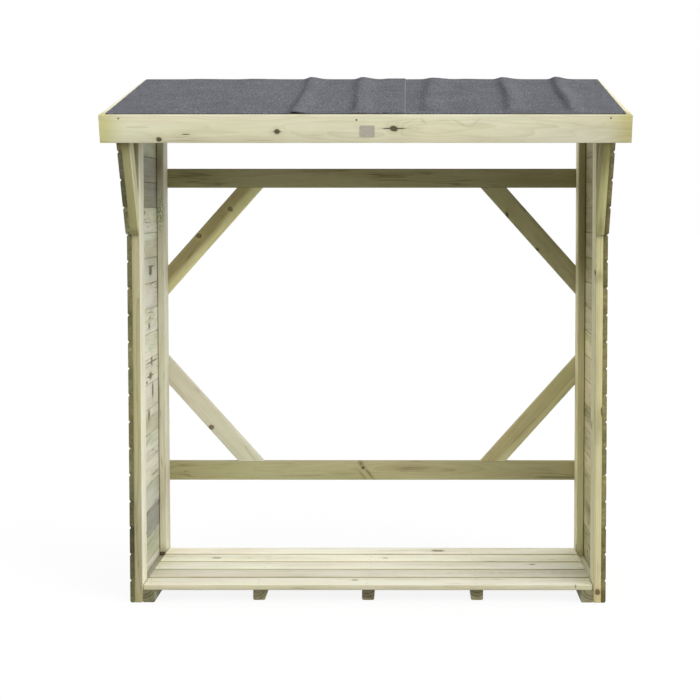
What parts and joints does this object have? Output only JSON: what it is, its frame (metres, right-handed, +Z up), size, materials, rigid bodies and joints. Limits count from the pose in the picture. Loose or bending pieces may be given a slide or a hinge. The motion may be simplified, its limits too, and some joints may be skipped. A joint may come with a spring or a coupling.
{
  "type": "log store",
  "caption": "Open-fronted timber log store with clad sides flared out under a felted mono-pitch roof, braced open back and slatted floor.",
  "frame": {"origin": "ground level at the middle of the overall width and depth, roof included", "axes": "+Z up, +X to the right as seen from the open front, +Y towards the back"},
  "size_m": [1.8, 0.8082, 1.9191],
  "materials": {
    "frame_timber": "pressure-treated softwood, planed, pale green-brown",
    "cladding_timber": "pressure-treated softwood boards, planed, green-brown",
    "floor_timber": "softwood slats, planed, pale cream",
    "trim_timber": "softwood trim boards, planed, pale yellow-green",
    "roof_felt": "mineral-faced bitumen felt, matt grey grit"
  },
  "bodies": {
    "root": {"left_front_post": "frame_timber", "left_back_post": "frame_timber", "left_bottom_rail": "frame_timber", "left_top_rail": "frame_timber", "left_roof_bracket": "frame_timber", "left_cladding": "cladding_timber", "left_barge_board": "trim_timber", "left_felt": "roof_felt", "upper_left_brace": "frame_timber", "lower_left_brace": "frame_timber", "right_front_post": "frame_timber", "right_back_post": "frame_timber", "right_bottom_rail": "frame_timber", "right_top_rail": "frame_timber", "right_roof_bracket": "frame_timber", "right_cladding": "cladding_timber", "right_barge_board": "trim_timber", "right_felt": "roof_felt", "upper_right_brace": "frame_timber", "lower_right_brace": "frame_timber", "back_rail_upper": "frame_timber", "back_rail_lower": "frame_timber", "centre_rafter": "frame_timber", "floor_bearer_1": "floor_timber", "floor_slat_1": "floor_timber", "floor_bearer_2": "floor_timber", "floor_slat_2": "floor_timber", "floor_bearer_3": "floor_timber", "floor_slat_3": "floor_timber", "floor_bearer_4": "floor_timber", "floor_slat_4": "floor_timber", "floor_bearer_5": "floor_timber", "floor_slat_5": "floor_timber", "roof_boards": "cladding_timber", "fascia": "trim_timber"}
  },
  "joints": []
}
